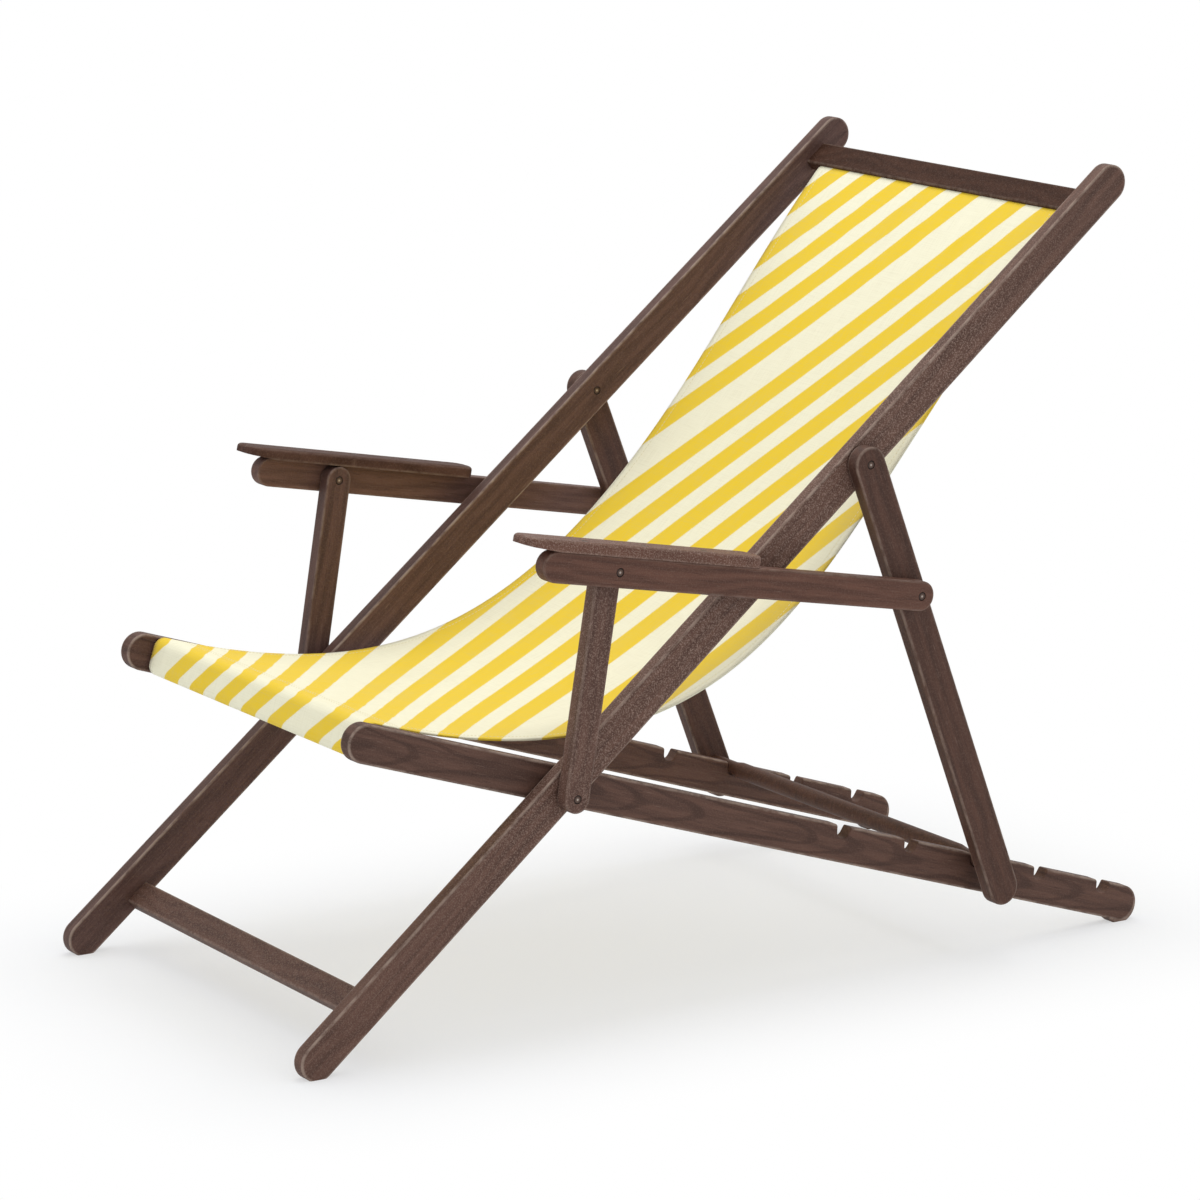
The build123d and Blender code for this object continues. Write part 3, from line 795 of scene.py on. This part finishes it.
def make_piece(name, points, faces, material, smooth=True):
    """A mesh object at the origin from arrays of points and quads."""
    mesh = bpy.data.meshes.new(name)
    mesh.from_pydata(points.reshape(-1, 3).tolist(), [], faces.tolist())
    mesh.polygons.foreach_set("use_smooth", np.full(len(mesh.polygons), smooth))
    mesh.materials.append(material)
    mesh.update()
    piece = bpy.data.objects.new(name, mesh)
    scene.collection.objects.link(piece)
    return piece


def add_cloth_places(piece, width, run):
    """Stores the cloth's own flat places, in metres across and along it, as its UV map."""
    mesh = piece.data
    layer = mesh.uv_layers.new(name="cloth")
    corner = np.zeros(len(mesh.loops), dtype=np.int32)
    mesh.loops.foreach_get("vertex_index", corner)
    flat = np.stack((width.ravel(), run.ravel()), axis=1)[corner]
    layer.data.foreach_set("uv", flat.ravel().astype(np.float32))


def cloth_piece(name, shares, runs, depth, thickness, material):
    """A closed cloth sheet: an upper face, a lower face a thickness below it, and the edges between.

    shares is a row of places across the cloth, or a grid of them, and runs a column of places along it.
    """
    run = np.broadcast_to(runs[:, None], (len(runs), shares.shape[-1]))
    share = np.broadcast_to(shares, run.shape)
    upper = on_cloth(share, run, depth)
    lower = on_cloth(share, run, depth + thickness)
    rows, columns = run.shape
    count = rows * columns
    top = grid_faces(rows, columns)
    bottom = grid_faces(rows, columns, count)[:, ::-1]
    index = np.arange(count).reshape(rows, columns)
    rim = np.concatenate((index[0], index[1:, -1], index[-1, -2::-1], index[-2:0:-1, 0]))
    after = np.roll(rim, -1)
    edges = np.stack((rim, after, after + count, rim + count), axis=1)
    piece = make_piece(name, np.concatenate((upper.reshape(-1, 3), lower.reshape(-1, 3))),
                       np.concatenate((top, bottom, edges)), material)
    width = share * np.interp(run, path_run, path_half)
    add_cloth_places(piece, np.stack((width, width)), np.stack((run, run)))
    return piece


# Canvas: cream with yellow stripes in groups of five, a plain weave, slubs and a little grime
CREAM = hex_colour("fdf9dd")
YELLOW = hex_colour("f6d11c")
GRIME = hex_colour("cfc6a0")
# Painted shade along the cloth's left edge beside the arm: its colour, reach in from the edge, where it
# fades in and out along the way, and strength
EDGE_SHADE_COLOUR = hex_colour("8a8778")
EDGE_SHADE_REACH = (0.140, 0.214)
EDGE_SHADE_FROM = (0.16, 0.34)
EDGE_SHADE_TO = (0.74, 0.90)
EDGE_SHADE_STRENGTH = 0.28
DYE_SHARE = 0.97
FRAY_SCALE = 900.0
FRAY_DEPTH = 0.05
SLUB_RATES = (30.0, 900.0)
SLUB_DETAIL = 3.0
SLUB_SEEDS = (3.0, 9.0)
SLUB_RANGE = (0.42, 0.70)
SLUB_SHARE = 0.20
PATCHES = dict(scale=7.0, detail=4.0, roughness=0.6)
PATCH_SEED = 5.0
PATCH_RANGE = (0.5, 0.8)
PATCH_SHARE = 0.12
THREAD_PITCH = 0.0011
CANVAS_RELIEF = (0.7, 0.6)
CANVAS_BUMP = (0.30, 0.0003)
CANVAS_ROUGHNESS = (0.82, 0.12)
CANVAS_GLOSS = 0.2
CANVAS_SHEEN = 0.06
STRIPES_ALONG = (3.449, 12.528, -0.698, 24.565, -73.595, 36.828)
STRIPES_ACROSS = (17.223, -5.867, 7.006)
STRIPE_SHARE = 0.54
STRIPE_SOFT = 0.022
STRIPE_GROUP = 5.0
GROUP_GAP = 0.36
SLEEVE_START = 0.010
SLEEVE_SOFT = 0.0035
SLEEVE_TURN = 22.32


def polynomial(value, factors):
    """Sum of factors times rising powers of a value, by Horner's rule."""
    total = factors[-1]
    for factor in reversed(factors[:-1]):
        total = value * total + factor
    return total


def canvas_finish():
    """Striped canvas: yellow where the stripe count lies in a stripe, cream elsewhere, in a plain weave.

    The count is a curve along the cloth plus a number of stripes per metre across it. Both are
    polynomials of the share of the way from the slat to the bar, so that the stripes sweep over the cloth.
    On the sleeve round the bar the stripes turn the other way, by a count that rises from none on a
    hyperbola. The left edge is darkened beside the arm by painted shade.
    """
    finish = Finish("striped_canvas")
    weft, warp, _ = finish.split(finish.node("UVMap", {"uv_map": "cloth"}, {}))
    way = (warp - SLING_TUCK) / hang_run
    count = polynomial(way, STRIPES_ALONG) + weft * polynomial(way, STRIPES_ACROSS)
    past_bar = warp - (hem_run + SLEEVE_START)
    count = count + (past_bar + (past_bar * past_bar + SLEEVE_SOFT ** 2).root()) * SLEEVE_TURN
    fray = finish.noise(finish.vector(weft, warp, 0.0), FRAY_SCALE)
    in_group = (count + (fray - 0.5) * FRAY_DEPTH) % (STRIPE_GROUP + GROUP_GAP)
    from_middle = abs(in_group % 1.0 - 0.5)
    band = 1.0 - from_middle.ramp(STRIPE_SHARE / 2 - STRIPE_SOFT, STRIPE_SHARE / 2 + STRIPE_SOFT)
    band = band * in_group.below(STRIPE_GROUP)
    slow, fast = SLUB_RATES
    weft_seed, warp_seed = SLUB_SEEDS
    weft_slub = finish.noise(finish.vector(weft * slow, warp * fast, weft_seed), 1.0, SLUB_DETAIL)
    warp_slub = finish.noise(finish.vector(weft * fast, warp * slow, warp_seed), 1.0, SLUB_DETAIL)
    slub = weft_slub * 0.5 + warp_slub * 0.5
    patches = finish.noise(finish.vector(weft, warp, PATCH_SEED), **PATCHES)
    colour = finish.mix(band * DYE_SHARE, CREAM, YELLOW)
    grimy = slub.ramp(*SLUB_RANGE) * SLUB_SHARE + patches.ramp(*PATCH_RANGE) * PATCH_SHARE
    colour = finish.mix(grimy, colour, GRIME)
    # Painted shade along the left edge beside the arm
    painted_edge_shade = weft.ramp(*EDGE_SHADE_REACH) * way.ramp(*EDGE_SHADE_FROM) * (1.0 - way.ramp(*EDGE_SHADE_TO))
    colour = finish.mix(painted_edge_shade * EDGE_SHADE_STRENGTH, colour, EDGE_SHADE_COLOUR)
    weft_wave = (weft * (2 * pi / THREAD_PITCH)).sine()
    warp_wave = (warp * (2 * pi / THREAD_PITCH)).sine()
    weave = weft_wave * warp_wave * 0.5 + 0.5
    of_weave, of_slub = CANVAS_RELIEF
    base, from_slub = CANVAS_ROUGHNESS
    return finish.close(
        Base_Color=colour,
        Roughness=base + slub * from_slub,
        Normal=finish.bump(weave * of_weave + slub * of_slub, *CANVAS_BUMP),
        Specular_IOR_Level=CANVAS_GLOSS,
        Sheen_Weight=CANVAS_SHEEN,
    )


canvas = canvas_finish()

ACROSS_COUNT = 65
HEM_WIDTH = 0.013
HEM_INSET = 0.0008
HEM_COLUMNS = 6
HEM_THICKNESS = CLOTH_THICKNESS * 0.9
HEM_DEPTH = CLOTH_THICKNESS + 0.0001
HEM_FROM_SLAT = 0.004
HEM_FROM_BAR = 0.040
sling_shares = np.linspace(-1, 1, ACROSS_COUNT)
sling = cloth_piece("sling_canvas", sling_shares, path_run, 0.0, CLOTH_THICKNESS, canvas)
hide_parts("sling")


def side_hem(name, sign):
    """A turned-under strip along one side edge, on the cloth's lower face, from the slat to the bar."""
    runs = path_run[(path_run > SLING_TUCK + HEM_FROM_SLAT) & (path_run < hem_run - HEM_FROM_BAR)]
    half = np.interp(runs, path_run, path_half)[:, None]
    inset = np.linspace(HEM_INSET, HEM_WIDTH, HEM_COLUMNS)[None, :]
    shares = 1 - inset / half
    if sign < 0:
        shares = -shares
    else:
        shares = shares[:, ::-1]
    return cloth_piece(name, shares, runs, HEM_DEPTH, HEM_THICKNESS, canvas)


hems = [side_hem("sling_hem_left", 1), side_hem("sling_hem_right", -1)]


# Stitching: short round threads in rows, along the side hems and across behind the bar
THREAD_COLOUR = hex_colour("efe6bf")
STITCH_PITCH = 0.0046
STITCH_LENGTH = 0.0034
STITCH_RADIUS = 0.00042
STITCH_AROUND = 6
STITCH_ALONG = 5
STITCH_TIP = 0.12
STITCH_AHEAD = 0.0005
STITCH_UP = 0.001
SIDE_ROW_FROM_SLAT = 0.008
SIDE_ROW_FROM_BAR = 0.045
SIDE_ROW_INSET = 0.003
SEAM_SETBACKS = (0.022, 0.031)
SEAM_MARGINS = (0.004, 0.003)
TWIST_RATE = 9000.0
TWIST_SHARE = 0.35
THREAD_ROUGHNESS = (0.7, 0.1)


def thread_finish():
    """Cream sewing thread with a fine twist."""
    finish = Finish("sewing_thread")
    x, y, z = finish.object_axes()
    twist = ((x + y + z) * TWIST_RATE).wave()
    colour = finish.mix(twist * TWIST_SHARE, THREAD_COLOUR, GRIME)
    base, from_twist = THREAD_ROUGHNESS
    return finish.close(Base_Color=colour, Roughness=base + twist * from_twist)


thread = thread_finish()


def stitch_row(share, run, tangent, depth):
    """Short threads at rows of places on the cloth.

    Each is a tube along the tangent whose radius follows a half circle of sines, so that it closes to a
    point at both ends, half sunk in the cloth.
    """
    centre = on_cloth(share, run, depth)
    ahead = on_cloth(share + tangent[0], run + tangent[1], depth) - centre
    ahead = ahead / np.linalg.norm(ahead, axis=1)[:, None]
    up = on_cloth(share, run, depth - STITCH_UP) - centre
    up = up / np.linalg.norm(up, axis=1)[:, None]
    beside = np.cross(ahead, up)
    way = np.linspace(0, pi, STITCH_ALONG)
    turn = np.linspace(0, 2 * pi, STITCH_AROUND, endpoint=False)
    radius = STITCH_RADIUS * np.maximum(np.sin(way), STITCH_TIP)
    place = -STITCH_LENGTH / 2 * np.cos(way)
    ring = np.cos(turn)[:, None, None] * beside + np.sin(turn)[:, None, None] * up
    spine = centre + place[:, None, None] * ahead
    points = spine[:, None] + radius[:, None, None, None] * ring[None]
    return points.transpose(2, 0, 1, 3)


def stitch_faces(count):
    """Quads of the tube walls, and two quads that close the six points of each end ring."""
    row = np.arange(STITCH_ALONG - 1)[:, None] * STITCH_AROUND
    place = np.arange(STITCH_AROUND)
    after = (place + 1) % STITCH_AROUND
    beyond = row + STITCH_AROUND
    wall = np.stack((row + place, row + after, beyond + after, beyond + place), axis=-1)
    last = (STITCH_ALONG - 1) * STITCH_AROUND
    first_cap = np.array(((3, 2, 1, 0), (5, 4, 3, 0)))
    last_cap = np.array(((0, 1, 2, 3), (0, 3, 4, 5))) + last
    one = np.concatenate((wall.reshape(-1, 4), first_cap, last_cap))
    offset = np.arange(count)[:, None, None] * (STITCH_ALONG * STITCH_AROUND)
    return (one[None] + offset).reshape(-1, 4)


def stitched(name, rows):
    """One piece from several rows of stitches."""
    points = np.concatenate(rows)
    return make_piece(name, points, stitch_faces(len(points)), thread)


def side_rows():
    """A row of stitches down each side hem, on the upper and the lower face."""
    runs = np.arange(SLING_TUCK + SIDE_ROW_FROM_SLAT, hem_run - SIDE_ROW_FROM_BAR, STITCH_PITCH)
    half = np.interp(runs, path_run, path_half)
    share = 1 - (HEM_WIDTH - SIDE_ROW_INSET) / half
    faces = (0.0, HEM_DEPTH + HEM_THICKNESS)
    return [
        stitch_row(sign * share, runs, (0.0, STITCH_AHEAD), depth) for sign in (-1, 1) for depth in faces
    ]


def seam_rows():
    """Two rows of stitches across the cloth behind the front bar, where the flap is sewn to it."""
    rows = []
    first_margin, last_margin = SEAM_MARGINS
    for set_back in SEAM_SETBACKS:
        run = hem_run - set_back
        half = np.interp(run, path_run, path_half)
        places = np.arange(-half + first_margin, half - last_margin, STITCH_PITCH)
        rows.append(stitch_row(places / half, np.full(len(places), run), (STITCH_AHEAD, 0.0), 0.0))
    return rows


side_stitches = stitched("sling_side_stitches", side_rows())
seam_stitches = stitched("sling_seam_stitches", seam_rows())

# The cloth spans from the slat on the main frame to just behind the front bar on the seat frame. A fold
# line's far end is worked out here but nothing uses it, and the cloth pieces are only baked in place and
# are not attached to either frame
FOLD_LEAN = radians(20)
FOLD_REACH = 0.94
fold_end = (0.0, *(tuck_end - FOLD_REACH * along(FOLD_LEAN)).tolist())
for cloth in (sling, *hems, side_stitches, seam_stitches):
    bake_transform(cloth)


# Tacks: domed heads along the back of the top slat, which pin the cloth in its kerf
TACK_COUNT = 9
TACK_RADIUS = 0.0045
TACK_HEIGHT = 0.0022
TACK_RISE = 0.009
TACK_SPREAD = 0.196
TACK_AROUND = 24
TACK_RINGS = 7
TACK_TIP = 0.0003
TACK_SINK = 0.0001


def tack_row():
    """Domed heads: a profile that rises as a quarter ellipse, turned about the slat's own normal."""
    around = np.linspace(0, 2 * pi, TACK_AROUND, endpoint=False)
    rise = np.linspace(0, 1, TACK_RINGS) * pi / 2
    radius = np.append(TACK_RADIUS * np.cos(rise[:-1]), TACK_TIP)
    height = TACK_HEIGHT * np.sin(rise)
    slat_back = PIVOT_DROP + SLAT_ACROSS - SLAT_HALF[1] + TACK_SINK
    place = main_pivot + (slat_low + TACK_RISE) * main_up + slat_back * main_over
    reach = np.linspace(-TACK_SPREAD, TACK_SPREAD, TACK_COUNT)
    centre = np.stack((reach, np.full(TACK_COUNT, place[0]), np.full(TACK_COUNT, place[1])), axis=1)
    out = np.array((0.0, *(-main_over)))
    side = np.array((1.0, 0.0, 0.0))
    up = np.array((0.0, *main_up))
    turn = np.cos(around)[:, None] * side + np.sin(around)[:, None] * up
    shape = height[:, None, None] * out + radius[:, None, None] * turn[None]
    points = centre[:, None, None] + shape[None]
    row = np.arange(TACK_RINGS - 1)[:, None] * TACK_AROUND
    beyond = row + TACK_AROUND
    spot = np.arange(TACK_AROUND)
    after = (spot + 1) % TACK_AROUND
    wall = np.stack((row + spot, beyond + spot, beyond + after, row + after), axis=-1)
    offset = np.arange(TACK_COUNT)[:, None, None] * (TACK_RINGS * TACK_AROUND)
    return points, (wall.reshape(1, -1, 4) + offset).reshape(-1, 4)


tack_points, tack_faces = tack_row()
tacks = make_piece("slat_tacks", tack_points, tack_faces, steel)
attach(tacks, "main_frame")


# Floor, light and camera
FLOOR_SIZE = 60.0
FLOOR_COLOUR = (0.885, 0.905, 0.935, 1.0)
FLOOR_GLOW = 0.51
# Beyond this footprint the floor's shadow is painted out to white, over this width of fade
FOOTPRINT_HALF = (0.20, 0.52)
FOOTPRINT_FADE = 0.30
KEY_POWER = 38.5
KEY_SIZE = 2.0
KEY_PLACE = (-0.5, 0.4, 3.4)
KEY_AIM = (0.0, 0.0, 0.4)
WORLD_STRENGTH = 0.76
WHITE = (1.0, 1.0, 1.0, 1.0)


def floor_finish():
    """White floor that takes the chair's shadow.

    Seen straight or in a reflection it is lifted towards white, the more so the further a place lies
    outside the chair's footprint, so that the chair's shadow is painted out beyond the footprint and
    ends at a soft painted edge along it.
    """
    finish = Finish("white_floor")
    x, y, _ = finish.object_axes()
    beside = (abs(x) - FOOTPRINT_HALF[0]).at_least(0.0)
    beyond = (abs(y) - FOOTPRINT_HALF[1]).at_least(0.0)
    away = (beside * beside + beyond * beyond).root().ramp(0.0, FOOTPRINT_FADE)
    matt = finish.node("BsdfDiffuse", {}, {"Color": FLOOR_COLOUR})
    glow = finish.node("Emission", {}, {"Color": WHITE, "Strength": 1.0})
    lifted = finish.seen() * (FLOOR_GLOW + away * (1 - FLOOR_GLOW))
    return finish.end(finish.node("MixShader", {}, {0: lifted, 1: matt, 2: glow}))


def make_floor():
    """A flat square under the chair."""
    half = FLOOR_SIZE / 2
    points = np.array(((-half, -half, 0), (half, -half, 0), (half, half, 0), (-half, half, 0)))
    floor = make_piece("floor", points, np.array(((0, 1, 2, 3),)), floor_finish(), smooth=False)


def make_light():
    """An even pale sky, white where it is seen, and one large soft lamp high over the chair."""
    world = bpy.data.worlds.new("studio")
    scene.world = world
    world.use_nodes = True
    sky = Graph(world.node_tree)
    strength = sky.seen() * (1 - WORLD_STRENGTH) + WORLD_STRENGTH
    background = sky.node("Background", {}, {"Color": WHITE, "Strength": strength})
    sky.node("OutputWorld", {}, {"Surface": background})
    lamp = bpy.data.lights.new("overhead", "AREA")
    lamp.shape = "SQUARE"
    lamp.size = KEY_SIZE
    lamp.energy = KEY_POWER
    holder = bpy.data.objects.new("overhead", lamp)
    holder.location = KEY_PLACE
    aim = Vector(KEY_AIM) - Vector(KEY_PLACE)
    holder.rotation_euler = aim.to_track_quat("-Z", "Y").to_euler()
    scene.collection.objects.link(holder)


CAMERA_PLACE = (3.76266, -2.69715, 1.40894)
CAMERA_YAW = radians(-54.73)
CAMERA_PITCH = radians(12.52)
CAMERA_ROLL = 0.029
CAMERA_LENS = 131.1
CAMERA_FAR = 200.0


def make_camera():
    """A camera at the photograph's viewing angle."""
    ahead = Vector((
        sin(CAMERA_YAW) * cos(CAMERA_PITCH), cos(CAMERA_YAW) * cos(CAMERA_PITCH), -sin(CAMERA_PITCH),
    ))
    right = Vector((cos(CAMERA_YAW), -sin(CAMERA_YAW), 0.0))
    up = right.cross(ahead)
    turned_right = cos(CAMERA_ROLL) * right + sin(CAMERA_ROLL) * up
    turned_up = cos(CAMERA_ROLL) * up - sin(CAMERA_ROLL) * right
    camera = bpy.data.cameras.new("camera")
    camera.lens = CAMERA_LENS
    camera.clip_end = CAMERA_FAR
    holder = bpy.data.objects.new("camera", camera)
    turn = Matrix((turned_right, turned_up, -ahead)).transposed().to_4x4()
    holder.matrix_world = Matrix.Translation(CAMERA_PLACE) @ turn
    scene.collection.objects.link(holder)
    scene.camera = holder


make_floor()
make_light()
make_camera()
